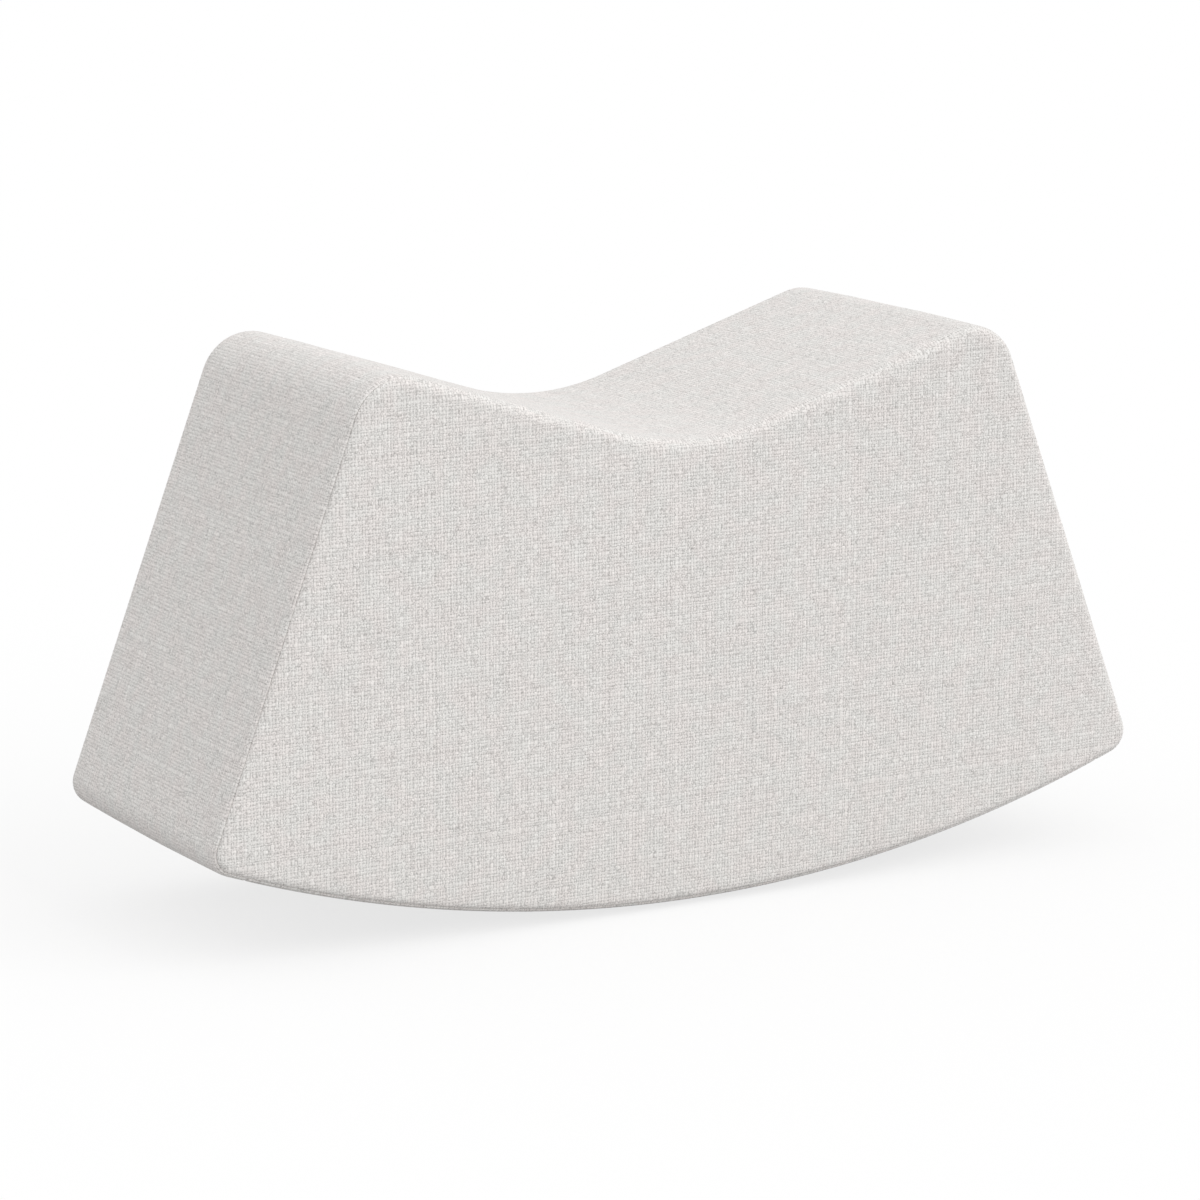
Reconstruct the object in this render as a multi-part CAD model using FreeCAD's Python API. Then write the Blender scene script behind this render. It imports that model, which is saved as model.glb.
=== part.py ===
import FreeCAD, Part
import math
import os

# Rocking footstool. Sizes are in millimetres and angles in degrees.
# X runs the way the stool rocks, Y through its depth and Z up.
# The origin is on the floor, under the middle of the rocker.

# Finished shape, measured over the cloth
depth = 200.0
rocker_radius = 860.0
toe_half_span = 309.0  # middle to the sharp toe corner, before rounding
crest_half_span = 207.0  # middle to the sharp crest corner, before rounding
crest_height = 329.0  # sharp crest corner above the cloth's lowest line
saddle_height = 270.5  # lowest line of the saddle, above the same line
saddle_radius = 156.0
crest_round = 31.0
toe_round = 14.0
edge_round = 6.7

# Cover and padding
cloth = 1.2
wadding = 3.0
wrap_foam_thickness = 8.0
saddle_foam_thickness = 20.0
face_foam_thickness = 8.0
seam_share = 0.7071  # how far round the edge the seam lies, as the cosine of its angle
base_seam_inset = 12.0  # along the base, from the toe's rounding to the seam across it

# Carcass
deck_ply = 6.0
panel_ply = 12.0
rail_depth = 34.0  # corner to the rail's flat back, along the bisector
rail_nose = 16.0  # part of that which stays in front of the boards
wood_round = 5.0
tab_height = 14.0
tab_width = 20.0
joint_gap = 0.2
valley_rail_width = 70.0
valley_rail_height = 26.0
stretcher_width = 60.0
stretcher_height = 20.0
stretcher_step = 9.5  # angle from one stretcher to the next
tenon_width = 30.0
tenon_height = 11.0
kerf_count = 13
kerf_width = 1.2
kerf_depth = 4.0
lightening_radius = 28.0
lightening_count = 3
lightening_pitch = 125.0
lightening_height = 132.0

# Staples
staple_crown = 11.0
staple_leg = 14.0
staple_long_leg = 32.0
staple_wire = 1.2
drive_gap = 0.05
lap_inset = 31.0  # corner to the staples that hold a board to its rail
lap_pitch = 110.0
rail_staple_offset = 24.0

# Grip strips on the rocker
grip_proud = 3.0
grip_width = 26.0
grip_inset = 32.0
grip_half_length = 270.0
grip_corner = 8.0

# Zip along the middle of the base
zip_half_length = 225.0
zip_opening = 11.0
tape_edge = 14.0  # middle of the zip to the tape's outer edge
tape_tail = 15.0
tape_thickness = 0.6
tape_gap = 0.1
tooth_pitch = 5.5
tooth_length = 2.3
tooth_reach = 0.8  # past the middle of the zip, into the other row
tooth_root = 3.0
tooth_thickness = 2.6
slider_length = 11.0
slider_width = 9.6
slider_plate = 0.9
slider_corner = 1.6
slider_gap = 0.15
flange_width = 1.0
flange_height = 0.8
post_width = 1.8
post_length = 2.0
eye_radius = 0.85
eye_width = 4.0
pin_radius = 0.45
pin_gap = 0.05
pull_length = 22.0
pull_width = 6.5
pull_thickness = 0.8
pull_window = 3.2
pull_corner = 1.6
pull_hole_radius = 1.2
pull_hole_inset = 3.5
stop_length = 2.5
past = 1.0  # how far a cutting shape runs beyond the face that it opens

# Worked out from the sizes above
rocker_centre = rocker_radius + grip_proud
floor_of_cloth = grip_proud
frame_half = depth / 2 - cloth - face_foam_thickness
panel_middle = frame_half - panel_ply / 2
seam_y = depth / 2 - edge_round * (1 - seam_share)
pad_base = cloth + wadding
wood_top = cloth + wadding + wrap_foam_thickness + saddle_foam_thickness
wood_end = cloth + wadding + wrap_foam_thickness
wood_base = pad_base
tape_middle = rocker_radius - cloth - tape_gap - tape_thickness / 2
slider_run = zip_half_length - slider_length / 2 - slider_gap
pin_height = tooth_thickness / 2 + slider_gap + slider_plate + eye_radius
far = 3 * rocker_radius


def at(x, z, y=0.0):
    return FreeCAD.Vector(x, y, z)


def unit(x, z):
    size = math.hypot(x, z)
    return x / size, z / size


def saddle_slope():
    """Angle of the straight stretch from crest to saddle, tangent to the saddle's arc."""
    drop = saddle_height + saddle_radius - crest_height
    reach = math.hypot(drop, crest_half_span)
    return math.atan2(crest_half_span, drop) - math.acos(saddle_radius / reach)


slope = saddle_slope()
crest = (crest_half_span, crest_height + floor_of_cloth)
toe = (toe_half_span, rocker_centre - math.sqrt(rocker_radius**2 - toe_half_span**2))
end_dir = unit(toe[0] - crest[0], toe[1] - crest[1])
end_out = (-end_dir[1], end_dir[0])
top_dir = (math.cos(slope), math.sin(slope))
top_out = (-top_dir[1], top_dir[0])
saddle_centre = saddle_height + floor_of_cloth + saddle_radius


def crest_corner(top, end):
    """Point that lies top under the top line and end inside the end line."""
    cross = top_out[0] * end_out[1] - top_out[1] * end_out[0]
    x = (-top * end_out[1] + end * top_out[1]) / cross
    z = (-end * top_out[0] + top * end_out[0]) / cross
    return crest[0] + x, crest[1] + z


def toe_corner(end, reach):
    """Lowest point that lies end inside the end line and reach from the rocker's centre."""
    x = crest[0] - end * end_out[0]
    z = crest[1] - end * end_out[1] - rocker_centre
    half = x * end_dir[0] + z * end_dir[1]
    run = -half + math.sqrt(half**2 - (x**2 + z**2 - reach**2))
    return x + run * end_dir[0], z + run * end_dir[1] + rocker_centre


def moved(start, direction, run):
    return start[0] + direction[0] * run, start[1] + direction[1] * run


def between(a, b):
    return unit(a[0] + b[0], a[1] + b[1])


def from_rocker(p):
    return unit(p[0], p[1] - rocker_centre)


def on_rocker(radius, angle):
    turn = math.radians(angle)
    return radius * math.sin(turn), rocker_centre - radius * math.cos(turn)


def line(a, b):
    return Part.LineSegment(at(*a), at(*b)).toShape()


def arc(a, middle, b):
    return Part.Arc(at(*a), at(*middle), at(*b)).toShape()


def rounded(a, centre, out_a, out_b, radius):
    """The arc round a corner, or nothing where the corner stays sharp."""
    if radius <= 0:
        return []
    middle = moved(centre, between(out_a, out_b), radius)
    return [(a, middle, moved(centre, out_b, radius))]


def outline(top, end, base, crest_radius, toe_radius):
    """Face of the stool's profile with each side moved in by its own amount."""
    reach = rocker_radius - base
    bowl = saddle_radius + top
    crest_at = crest_corner(top + crest_radius, end + crest_radius)
    toe_at = toe_corner(end + toe_radius, reach - toe_radius)
    toe_out = from_rocker(toe_at)
    low = moved((0, rocker_centre), toe_out, reach)
    end_low = moved(toe_at, end_out, toe_radius)
    end_high = moved(crest_at, end_out, crest_radius)
    top_high = moved(crest_at, top_out, crest_radius)
    top_low = (bowl * math.sin(slope), saddle_centre - bowl * math.cos(slope))
    arcs = rounded(low, toe_at, toe_out, end_out, toe_radius)
    arcs += rounded(end_high, crest_at, end_out, top_out, crest_radius)
    lines = [(end_low, end_high), (top_high, top_low)]
    edges = [arc((-low[0], low[1]), (0, rocker_centre - reach), low)]
    edges.append(arc(top_low, (0, saddle_centre - bowl), (-top_low[0], top_low[1])))
    for side in (1, -1):
        for points in arcs:
            edges.append(arc(*[(side * x, z) for x, z in points]))
        for points in lines:
            edges.append(line(*[(side * x, z) for x, z in points]))
    return Part.Face(Part.Wire(Part.__sortEdges__(edges)))


def prism(face, low, high):
    raised = face.copy()
    raised.translate(at(0, 0, low))
    return raised.extrude(at(0, 0, high - low))


def polygon(points):
    return Part.Face(Part.makePolygon([at(*p) for p in points] + [at(*points[0])]))


def block(corner, inward, start, stop, half_width):
    """Rectangle set square to a corner's bisector, from start to stop along it."""
    side = (-inward[1], inward[0])
    points = []
    for run, across in ((start, -1), (stop, -1), (stop, 1), (start, 1)):
        points.append(moved(moved(corner, inward, run), side, across * half_width))
    return polygon(points)


def mirrored(shape):
    return shape.mirror(at(0, 0), at(1, 0))


def turn_for(length):
    """Angle that a length along the rocker takes."""
    return math.degrees(length / rocker_radius)


def rolled(shape, angle):
    """The same shape carried round the rocker's centre, positive towards +X."""
    copy = shape.copy()
    copy.rotate(at(0, rocker_centre), FreeCAD.Vector(0, 1, 0), -angle)
    return copy


def together(shapes):
    shapes = list(shapes)
    joined = shapes[0].fuse(shapes[1:]) if len(shapes) > 1 else shapes[0]
    return joined.removeSplitter()


def bundle(shapes):
    return Part.makeCompound(list(shapes))


def box(x, y, z):
    """Box given by the low and high value of each axis."""
    return Part.makeBox(x[1] - x[0], y[1] - y[0], z[1] - z[0], FreeCAD.Vector(x[0], y[0], z[0]))


def arc_band(inner, outer, low, high, start, stop):
    """Strip that follows the rocker, between two radii, two depths and two angles."""
    middle = (start + stop) / 2
    a, b = on_rocker(outer, start), on_rocker(outer, stop)
    c, d = on_rocker(inner, stop), on_rocker(inner, start)
    edges = [arc(a, on_rocker(outer, middle), b), line(b, c)]
    edges += [arc(c, on_rocker(inner, middle), d), line(d, a)]
    return prism(Part.Face(Part.Wire(edges)), low, high)


# Cover and padding


def plain_block(inset):
    """Whole stool moved in by inset, and the edges that run round its front and back faces."""
    half = depth / 2 - inset
    solid = prism(outline(inset, inset, inset, crest_round - inset, toe_round - inset), -half, half)
    return solid, [edge for edge in solid.Edges if abs(abs(edge.CenterOfMass.y) - half) < 0.001]


def padded_block():
    """Inside of the cover. Its edges are flat, where the seam's turnings fill the rounding."""
    solid, edges = plain_block(cloth)
    return solid.makeChamfer(edge_round - cloth, edges)


def slab(low, high):
    return box((-far, far), (low, high), (-far, far))


def base_zone():
    """Under side of the stool, between the two seams across it."""
    x, z = from_rocker(toe_corner(toe_round, rocker_radius - toe_round))
    seam = math.degrees(math.atan2(x, -z)) - turn_for(base_seam_inset)
    inner = rocker_radius - 2 * pad_base
    return arc_band(inner, rocker_radius + past, -depth, depth, -seam, seam)


def cover_pieces():
    """Sewn cover: a face each side, one band over ends and saddle, and a base in two halves."""
    outer, edges = plain_block(0)
    skin = outer.makeFillet(edge_round, edges).cut(padded_block())
    ring = skin.common(slab(-seam_y, seam_y))
    zone = base_zone()
    mouth = turn_for(zip_half_length + stop_length + joint_gap)
    half = zip_opening / 2
    slot = arc_band(rocker_radius - 2 * cloth, rocker_radius + past, -half, half, -mouth, mouth)
    base = ring.common(zone).cut(slot)
    return {
        "cover_front": skin.common(slab(-depth, -seam_y)),
        "cover_back": skin.common(slab(seam_y, depth)),
        "cover_band": ring.cut(zone),
        "cover_base_front": base.common(slab(-depth, 0)),
        "cover_base_back": base.common(slab(0, depth)),
    }


def profile_layer(outer, inner):
    return prism(outer.cut(inner), -frame_half, frame_half)


def padding_pieces():
    """Wadding, felt and foams, from the cover inwards."""
    padded = padded_block()
    under = outline(cloth, cloth, cloth, crest_round - cloth, toe_round - cloth)
    lined = outline(pad_base, pad_base, pad_base, crest_round - pad_base, toe_round - pad_base)
    wrapped = outline(wood_end, wood_end, pad_base, crest_round - wood_end, wood_round)
    lining = profile_layer(under, lined)
    zone = base_zone()
    room = turn_for(zip_half_length + tape_tail + joint_gap)
    half = tape_edge + joint_gap
    groove = arc_band(rocker_radius - 2 * pad_base, rocker_radius, -half, half, -room, room)
    return {
        "face_foam_front": padded.common(slab(-depth, -frame_half)),
        "face_foam_back": padded.common(slab(frame_half, depth)),
        "wadding_band": lining.cut(zone),
        "rocker_felt": lining.common(zone).cut(groove),
        "wrap_foam": profile_layer(lined, wrapped),
        "saddle_foam": profile_layer(wrapped, wood_outline()),
    }


# Carcass


def wood_outline():
    return outline(wood_top, wood_end, wood_base, wood_round, wood_round)


def core_outline():
    """Inside of the boards that cover the carcass."""
    return outline(wood_top + deck_ply, wood_end + deck_ply, wood_base + deck_ply, 0, 0)


def wood_corner(name):
    """Sharp corner of the wood on the +X side, and the direction inwards from it."""
    if name == "crest":
        corner = crest_corner(wood_top, wood_end)
        outward = between(top_out, end_out)
    else:
        corner = toe_corner(wood_end, rocker_radius - wood_base)
        outward = between(from_rocker(corner), end_out)
    return corner, (-outward[0], -outward[1])


def corner_zone(name, run):
    """Everything within run of a corner on the +X side, along its bisector."""
    corner, inward = wood_corner(name)
    return block(corner, inward, -rail_depth, run, 3 * rail_depth)


def panel_tab(name, extra):
    """Tongue of the side panel that stands in the corner rail."""
    corner, inward = wood_corner(name)
    start = rail_depth - tab_height - extra
    return block(corner, inward, start, rail_depth + past, tab_width / 2 + extra)


def corner_rail(name):
    """Full-depth rail behind a crest or toe, rebated for the boards beside it."""
    behind = core_outline().common(corner_zone(name, rail_depth))
    nose = wood_outline().common(corner_zone(name, rail_nose))
    rail = together([prism(face, -frame_half, frame_half) for face in (behind, nose)])
    notch = prism(panel_tab(name, joint_gap), frame_half - panel_ply - joint_gap, depth)
    return rail.cut([notch, notch.mirror(at(0, 0), FreeCAD.Vector(0, 1, 0))])


def cross_rail(half_width, low, high):
    """Rail between the panels, cut to the profile, its tenons and the slot that takes them."""
    corners = [(-half_width, low), (half_width, low), (half_width, high), (-half_width, high)]
    inside = frame_half - panel_ply
    body = prism(core_outline().common(polygon(corners)), -inside, inside)
    middle = body.Solids[0].CenterOfMass.z
    across, up = tenon_width / 2, tenon_height / 2
    tenon = box((-across, across), (-frame_half, frame_half), (middle - up, middle + up))
    across, up = across + joint_gap, up + joint_gap
    slot = box((-across, across), (-depth, depth), (middle - up, middle + up))
    return together([body, tenon]), slot, middle


def cross_rails():
    """Each rail's name, with its shape, slot, middle height and angle round the rocker."""
    roof = saddle_centre - saddle_radius - wood_top - deck_ply
    ground = floor_of_cloth + wood_base + deck_ply
    valley = cross_rail(valley_rail_width / 2, roof - valley_rail_height, roof + valley_rail_width)
    sole = cross_rail(stretcher_width / 2, ground - stretcher_width, ground + stretcher_height)
    return {
        "valley_rail": (*valley, 0),
        "stretcher_left": (*sole, -stretcher_step),
        "stretcher_middle": (*sole, 0),
        "stretcher_right": (*sole, stretcher_step),
    }


def board_strips():
    """The four boards round the carcass, between the corner rails."""
    ring = wood_outline().cut(core_outline())
    for name in ("crest", "toe"):
        zone = corner_zone(name, rail_nose)
        ring = ring.cut([zone, mirrored(zone)])
    strips = prism(ring, -frame_half, frame_half).Solids
    strips = sorted(strips, key=lambda strip: strip.CenterOfMass.z)
    ends = sorted(strips[1:-1], key=lambda strip: strip.CenterOfMass.x)
    return {
        "rocker_deck": strips[0],
        "end_board_left": ends[0],
        "end_board_right": ends[1],
        "saddle_deck": kerfed(strips[-1]),
    }


def kerfed(deck):
    """Saddle deck with saw cuts across its hollow side, so that it takes the bend."""
    floor = saddle_centre - saddle_radius - wood_top - kerf_depth
    for n in range(kerf_count):
        turn = 2 * math.degrees(slope) * (n / (kerf_count - 1) - 0.5)
        half = kerf_width / 2
        kerf = box((-half, half), (-depth, depth), (floor, floor + kerf_depth + past))
        kerf.rotate(at(0, saddle_centre), FreeCAD.Vector(0, 1, 0), turn)
        deck = deck.cut(kerf)
    return deck


def side_panel(slots):
    """Back panel of the carcass, with tongues at its corners, slots and lightening holes."""
    face = core_outline()
    tabs = []
    for name in ("crest", "toe"):
        seat = corner_zone(name, rail_depth)
        face = face.cut([seat, mirrored(seat)])
        tab = panel_tab(name, 0)
        tabs += [tab, mirrored(tab)]
    inside = frame_half - panel_ply
    panel = together([prism(part, inside, frame_half) for part in [face] + tabs])
    cutters = list(slots)
    for n in range(lightening_count):
        x = (n - (lightening_count - 1) / 2) * lightening_pitch
        start = FreeCAD.Vector(x, 0, lightening_height)
        cutters.append(Part.makeCylinder(lightening_radius, depth, start, FreeCAD.Vector(0, 1, 0)))
    return panel.cut(cutters)


def staple(leg, gap):
    """Staple with its crown's outside at the origin, running down -Z, its crown along Y."""
    wire = staple_wire + 2 * gap
    side = wire / 2
    half = staple_crown / 2 + gap
    crown = box((-side, side), (-half, half), (-wire, 0))
    low = -leg - gap
    near = box((-side, side), (-half, wire - half), (low, 0))
    return together([crown, near, box((-side, side), (half - wire, half), (low, 0))])


def driven(shape, start, outward, y):
    """A staple with its crown at start, driven against outward."""
    copy = shape.copy()
    turn = FreeCAD.Rotation(FreeCAD.Vector(0, 0, 1), FreeCAD.Vector(*outward))
    copy.Placement = FreeCAD.Placement(at(start[0], start[1], y), turn)
    return copy


def board_staple_places():
    """Crown, outward direction and depth of every staple through a board."""
    high, low = wood_corner("crest")[0], wood_corner("toe")[0]
    reach = rocker_radius - wood_base
    height = math.hypot(high[0] - low[0], high[1] - low[1])
    lap_angle = math.degrees(math.asin(low[0] / reach) - lap_inset / reach)
    lap = (-lap_pitch / 2, lap_pitch / 2)
    found = []
    for side in (1, -1):
        x, z = moved(high, top_dir, -lap_inset)
        found += [((side * x, z), (side * top_out[0], 0, top_out[1]), y) for y in lap]
        spans = ((lap_inset, lap), (height / 2, (-panel_middle, panel_middle)), (height - lap_inset, lap))
        for run, depths in spans:
            x, z = moved(high, end_dir, run)
            found += [((side * x, z), (side * end_out[0], 0, end_out[1]), y) for y in depths]
        spot = on_rocker(reach, side * lap_angle)
        out = from_rocker(spot)
        found += [(spot, (out[0], 0, out[1]), y) for y in lap]
    return found


def board_staples(gap):
    made = staple(staple_leg, gap)
    return [driven(made, *place) for place in board_staple_places()]


def rail_staples(crosses, gap):
    """Staples through both panels into the ends of each cross rail, beside its tenon."""
    made = staple(staple_long_leg, gap)
    found = []
    for _, _, middle, angle in crosses.values():
        for side in (1, -1):
            x = side * rail_staple_offset
            stapled = driven(made, (x, middle), (0, side, 0), side * frame_half)
            found.append(rolled(stapled, angle))
    return found


def carcass_pieces():
    """Wooden frame with its staples, each piece pierced where they pass."""
    crosses = cross_rails()
    panel = side_panel([rolled(slot, angle) for _, slot, _, angle in crosses.values()])
    pieces = board_strips()
    pieces["side_panel_back"] = panel
    pieces["side_panel_front"] = panel.mirror(at(0, 0), FreeCAD.Vector(0, 1, 0))
    for name in ("crest", "toe"):
        rail = corner_rail(name)
        pieces[f"{name}_rail_right"] = rail
        pieces[f"{name}_rail_left"] = mirrored(rail)
    for name, (rail, _, _, angle) in crosses.items():
        pieces[name] = rolled(rail, angle)

    bites = rail_staples(crosses, drive_gap) + board_staples(drive_gap)
    for name, piece in pieces.items():
        near = [bite for bite in bites if bite.BoundBox.intersect(piece.BoundBox)]
        pieces[name] = piece.cut(near)
    pieces["rail_staples"] = bundle(rail_staples(crosses, 0))
    pieces["board_staples"] = bundle(board_staples(0))
    return pieces


# Grip strips and zip


def grip_strip():
    """Rubber strip behind the middle, with clipped corners."""
    low = depth / 2 - grip_inset - grip_width
    end = turn_for(grip_half_length)
    strip = arc_band(rocker_radius, rocker_centre, low, low + grip_width, -end, end)
    corners = [edge for edge in strip.Edges if abs(edge.Length - grip_proud) < 0.001]
    return strip.makeChamfer(grip_corner, corners)


def zip_tape():
    """Half of the zip's tape behind the middle, from the teeth out under the cover."""
    end = turn_for(zip_half_length + tape_tail)
    half = tape_thickness / 2
    return arc_band(tape_middle - half, tape_middle + half, tooth_root, tape_edge, -end, end)


def zip_box(x, y, out):
    """Box under the middle of the rocker, its heights measured outwards from the tape."""
    level = rocker_centre - tape_middle
    return box(x, y, (level - out[1], level - out[0]))


def zip_teeth(shift):
    """One row of teeth behind the middle. A shift of half a pitch lets two rows mesh."""
    half = tooth_thickness / 2
    tooth = zip_box((-tooth_length / 2, tooth_length / 2), (-tooth_reach, tooth_root), (-half, half))
    first = -zip_half_length + tooth_pitch / 2 + shift
    last = zip_half_length - slider_gap - post_length - tooth_pitch / 2
    count = int((last - first) / tooth_pitch) + 1
    return bundle([rolled(tooth, turn_for(first + n * tooth_pitch)) for n in range(count)])


def zip_stops():
    """Two stops past the closed end and one across both tapes at the other."""
    half = tooth_thickness / 2
    length = (-stop_length / 2, stop_length / 2)
    top = zip_box(length, (slider_gap, tooth_root), (-half, half))
    low = zip_box(length, (-tooth_root, tooth_root), (-half, half))
    place = turn_for(zip_half_length + stop_length / 2)
    pair = [top, top.mirror(at(0, 0), FreeCAD.Vector(0, 1, 0))]
    return bundle([rolled(stop, place) for stop in pair] + [rolled(low, -place)])


def zip_slider():
    """Slider with its two plates, flanges, post and the eye that the pull hangs from."""
    end, side = slider_length / 2, slider_width / 2
    near = tooth_thickness / 2 + slider_gap
    pieces = []
    for level in ((near, near + slider_plate), (-near - slider_plate, -near)):
        plate = zip_box((-end, end), (-side, side), level)
        upright = [edge for edge in plate.Edges if abs(edge.Length - slider_plate) < 0.001]
        pieces.append(plate.makeChamfer(slider_corner, upright))
    run = end - slider_corner
    for low, high in ((near - flange_height, near), (-near, flange_height - near)):
        pieces.append(zip_box((-run, run), (side - flange_width, side), (low, high)))
        pieces.append(zip_box((-run, run), (-side, flange_width - side), (low, high)))
    pieces.append(zip_box((end - post_length, end), (-post_width / 2, post_width / 2), (-near, near)))
    pieces.append(zip_box((-eye_radius, eye_radius), (-eye_width / 2, eye_width / 2), (near, pin_height)))
    level = rocker_centre - tape_middle - pin_height
    along = FreeCAD.Vector(0, 1, 0)
    eye = Part.makeCylinder(eye_radius, eye_width, FreeCAD.Vector(0, -eye_width / 2, level), along)
    bore = Part.makeCylinder(
        pin_radius + pin_gap, 2 * eye_width, FreeCAD.Vector(0, -eye_width, level), along
    )
    body = together(pieces + [eye]).cut(bore)
    return rolled(body, turn_for(slider_run))


def zip_pull():
    """Pull that hangs straight down from the slider's eye."""
    x, z = on_rocker(tape_middle + pin_height, turn_for(slider_run))
    thick, wide = pull_thickness / 2, pull_width / 2
    plate = box((x - thick, x + thick), (-wide, wide), (z - pull_length, z))
    low = [
        edge
        for edge in plate.Edges
        if abs(edge.Length - pull_thickness) < 0.001 and edge.CenterOfMass.z < z - pull_length / 2
    ]
    plate = plate.makeChamfer(pull_corner, low)
    gap = eye_width / 2 + slider_gap
    window = box((x - past, x + past), (-gap, gap), (z - pull_window, z + past))
    start = FreeCAD.Vector(x - past, 0, z - pull_length + pull_hole_inset)
    hole = Part.makeCylinder(pull_hole_radius, 2 * past, start, FreeCAD.Vector(1, 0, 0))
    along = FreeCAD.Vector(0, 1, 0)
    pin = Part.makeCylinder(pin_radius, pull_width, FreeCAD.Vector(x, -wide, z), along)
    return together([plate.cut([window, hole]), pin])


def under_pieces():
    front = FreeCAD.Vector(0, 1, 0)
    strip, tape = grip_strip(), zip_tape()
    return {
        "grip_strip_back": strip,
        "grip_strip_front": strip.mirror(at(0, 0), front),
        "zip_tape_back": tape,
        "zip_tape_front": tape.mirror(at(0, 0), front),
        "zip_teeth_back": zip_teeth(0),
        "zip_teeth_front": zip_teeth(tooth_pitch / 2).mirror(at(0, 0), front),
        "zip_stops": zip_stops(),
        "zip_slider": zip_slider(),
        "zip_pull": zip_pull(),
    }


def main():
    os.makedirs("parts", exist_ok=True)
    nodes = {**cover_pieces(), **padding_pieces(), **carcass_pieces(), **under_pieces()}
    for name, shape in nodes.items():
        solids = shape.Solids
        node = solids[0] if len(solids) == 1 else bundle(solids)
        node.exportStep(f"parts/{name}.step")
        print(f"{name}: {len(solids)} solid(s), {node.Volume / 1000:.1f} cm3, valid {node.isValid()}")


main()
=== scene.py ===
import bpy
import bmesh
import math
import random
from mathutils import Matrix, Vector


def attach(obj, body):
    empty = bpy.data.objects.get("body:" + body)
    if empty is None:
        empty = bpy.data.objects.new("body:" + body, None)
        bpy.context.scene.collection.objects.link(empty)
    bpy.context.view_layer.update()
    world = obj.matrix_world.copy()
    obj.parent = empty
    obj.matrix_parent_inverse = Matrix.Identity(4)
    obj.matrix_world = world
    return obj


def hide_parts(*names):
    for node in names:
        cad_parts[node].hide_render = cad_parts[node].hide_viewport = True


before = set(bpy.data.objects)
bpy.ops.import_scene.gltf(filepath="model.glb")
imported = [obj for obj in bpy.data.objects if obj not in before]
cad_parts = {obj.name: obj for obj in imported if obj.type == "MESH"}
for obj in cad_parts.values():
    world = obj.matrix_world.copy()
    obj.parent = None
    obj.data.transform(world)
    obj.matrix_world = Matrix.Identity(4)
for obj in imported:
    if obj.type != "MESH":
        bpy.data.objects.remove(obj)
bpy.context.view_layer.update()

mm = 0.001

# The stool's finished shape over the cloth, and the layers inwards from it, in metres
stool = {
    "depth": 0.200,
    "rockerRadius": 0.860,
    "toeHalfSpan": 0.309,
    "crestHalfSpan": 0.207,
    "crestHeight": 0.329,
    "saddleHeight": 0.2705,
    "saddleRadius": 0.156,
    "crestRound": 0.031,
    "toeRound": 0.014,
    "edgeRound": 0.0067,
    "floorGap": 0.003,
    "baseSeamInset": 0.012,  # seam under the toe, before the toe's rounding starts
    "cloth": 0.0012,
    "wadding": 0.003,
    "wrapFoam": 0.008,
    "saddleFoam": 0.020,
    "faceFoam": 0.008,
    "woodRound": 0.005,
}


def unit(x, z):
    size = math.hypot(x, z)
    return x / size, z / size


def moved(start, direction, run):
    return start[0] + direction[0] * run, start[1] + direction[1] * run


def angleOf(direction):
    return math.atan2(direction[1], direction[0])


# Lines and corners that every layer is measured from
rockerCentre = stool["rockerRadius"] + stool["floorGap"]
saddleCentre = stool["saddleHeight"] + stool["floorGap"] + stool["saddleRadius"]
saddleDrop = stool["saddleHeight"] + stool["saddleRadius"] - stool["crestHeight"]
saddleReach = math.hypot(saddleDrop, stool["crestHalfSpan"])
slope = math.atan2(stool["crestHalfSpan"], saddleDrop) - math.acos(stool["saddleRadius"] / saddleReach)
crest = (stool["crestHalfSpan"], stool["crestHeight"] + stool["floorGap"])
toeDrop = math.sqrt(stool["rockerRadius"] ** 2 - stool["toeHalfSpan"] ** 2)
toe = (stool["toeHalfSpan"], rockerCentre - toeDrop)
endDir = unit(toe[0] - crest[0], toe[1] - crest[1])
endOut = (-endDir[1], endDir[0])
topOut = (-math.sin(slope), math.cos(slope))


def crestCorner(top, end):
    cross = topOut[0] * endOut[1] - topOut[1] * endOut[0]
    x = (-top * endOut[1] + end * topOut[1]) / cross
    z = (-end * topOut[0] + top * endOut[0]) / cross
    return crest[0] + x, crest[1] + z


def toeCorner(end, reach):
    x = crest[0] - end * endOut[0]
    z = crest[1] - end * endOut[1] - rockerCentre
    half = x * endDir[0] + z * endDir[1]
    run = -half + math.sqrt(half**2 - (x**2 + z**2 - reach**2))
    return x + run * endDir[0], z + run * endDir[1] + rockerCentre


# Every part of a profile is its length and a function from share to point and outward direction
def arcPart(centre, radius, start, stop):
    def place(share):
        angle = start + (stop - start) * share
        nx, nz = math.cos(angle), math.sin(angle)
        return centre[0] + radius * nx, centre[1] + radius * nz, nx, nz
    return abs(radius * (stop - start)), place


def linePart(a, b, out):
    def place(share):
        return a[0] + (b[0] - a[0]) * share, a[1] + (b[1] - a[1]) * share, out[0], out[1]
    return math.dist(a, b), place


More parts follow.
